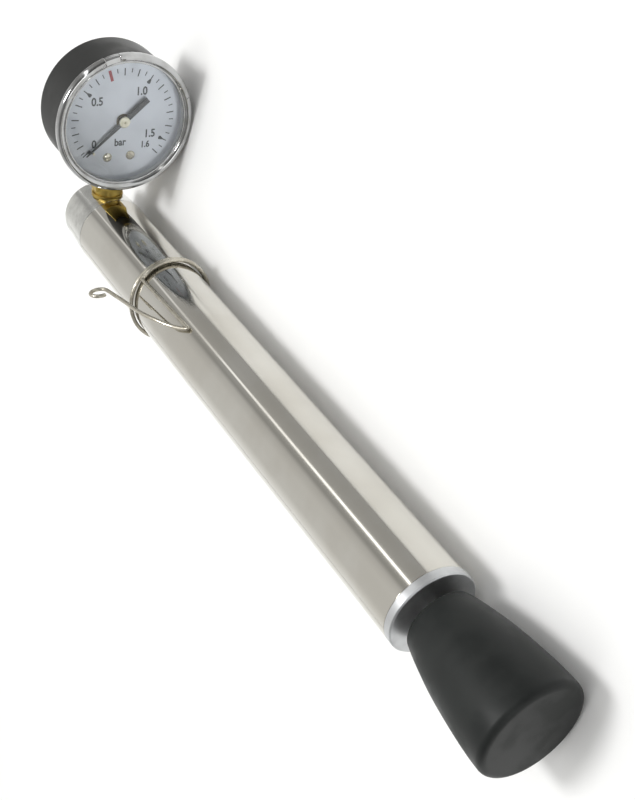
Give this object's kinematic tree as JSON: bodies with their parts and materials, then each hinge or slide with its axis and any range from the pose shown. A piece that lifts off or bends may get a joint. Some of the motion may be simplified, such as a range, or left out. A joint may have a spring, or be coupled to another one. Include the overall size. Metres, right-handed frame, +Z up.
{
  "type": "hand air pump with pressure gauge",
  "caption": "Slim hand air pump for air shocks: polished tube barrel, flared grip, side-mounted round pressure gauge on a brass connector, and a wire clip.",
  "frame": {"origin": "on the table, at the middle of the bounding box of the pump as it lies: barrel level, resting on the rim of the grip and the gauge bezel", "axes": "+Y along the barrel from grip to cap, +Z up from the table, +X towards the gauge"},
  "size_m": [0.0902, 0.2864, 0.0528],
  "materials": {
    "polished_steel": "mirror-polished stainless steel",
    "bright_steel": "bright turned steel",
    "spring_steel": "plain drawn spring wire",
    "satin_aluminium": "turned, satin",
    "brass": "machined brass",
    "black_grip": "matte, fine-grained",
    "rubber": "black nitrile",
    "pale_rubber": "pale grey silicone",
    "felt": "oiled wool felt",
    "black_enamel": "satin black enamel on steel",
    "chrome": "chrome plate",
    "clear_window": "clear",
    "dial_white": "matt white print ground",
    "pointer_black": "matt black"
  },
  "bodies": {
    "barrel": {"barrel_tube": "polished_steel", "end_collar": "satin_aluminium", "rod_wiper": "felt", "rod_guide_bush": "brass", "top_buffer": "rubber", "head_cap": "satin_aluminium", "head_o_ring": "rubber", "valve_seat": "brass", "valve_spring": "spring_steel", "gauge_washer": "brass", "gauge_connector": "brass", "bourdon_tube": "brass", "bourdon_tip": "brass", "movement_back_plate": "brass", "movement_front_plate": "brass", "movement_pillars": "brass", "movement_screws": "bright_steel", "hairspring": "spring_steel", "dial_plate": "dial_white", "dial_posts": "brass", "dial_screws": "brass", "stop_pin": "brass", "gauge_case": "black_enamel", "window_gasket": "pale_rubber", "window": "clear_window", "bezel_ring": "chrome"},
    "piston": {"piston_disc": "satin_aluminium", "piston_cup": "rubber", "piston_washer": "bright_steel"},
    "handle": {"piston_rod": "bright_steel", "piston_nut": "bright_steel", "handle_grip": "black_grip", "handle_insert": "brass"},
    "poppet": {"valve_poppet": "rubber"},
    "needle": {"pointer": "pointer_black", "pointer_hub": "brass", "pinion_arbor": "bright_steel"},
    "sector": {"sector_gear": "brass"},
    "link": {"link_plate": "brass"},
    "clip": {"wire_clip": "spring_steel"}
  },
  "joints": [
    {"name": "pump_stroke", "type": "slide", "parent": "barrel", "child": "piston", "axis": [0, -1, 0], "range_m": [0, 0.176]},
    {"name": "handle_spin", "type": "hinge", "parent": "piston", "child": "handle", "pos_m": [-0.02877, -0.11965, 0.0163], "axis": [0, -1, 0], "continuous": true},
    {"name": "clip_slide", "type": "slide", "parent": "barrel", "child": "clip", "axis": [0, -1, 0], "range_m": [-0.045, 0.128]},
    {"name": "valve_lift", "type": "slide", "parent": "barrel", "child": "poppet", "axis": [0, 1, 0], "range_m": [0, 0.0015], "stiffness_N_per_m": 20, "springref_m": -0.002, "deforming": ["valve_spring"]},
    {"name": "gauge_needle", "type": "hinge", "parent": "barrel", "child": "needle", "pos_m": [0.01867, 0.11685, 0.0264], "axis": [0, 1, 0], "range_deg": [0, 266], "stiffness_Nm_per_rad": 0.00001},
    {"name": "sector_swing", "type": "hinge", "parent": "barrel", "child": "sector", "pos_m": [0.01285, 0.12235, 0.01953], "axis": [0, 1, 0], "range_deg": [-53.3, 0]},
    {"name": "link_swing", "type": "hinge", "parent": "sector", "child": "link", "pos_m": [0.01131, 0.12165, 0.01478], "axis": [0, 1, 0], "range_deg": [0, 53.3]}
  ],
  "couplings": [
    {"joint": "sector_swing", "follows": "gauge_needle", "ratio": -0.2},
    {"joint": "link_swing", "follows": "gauge_needle", "ratio": 0.2}
  ]
}
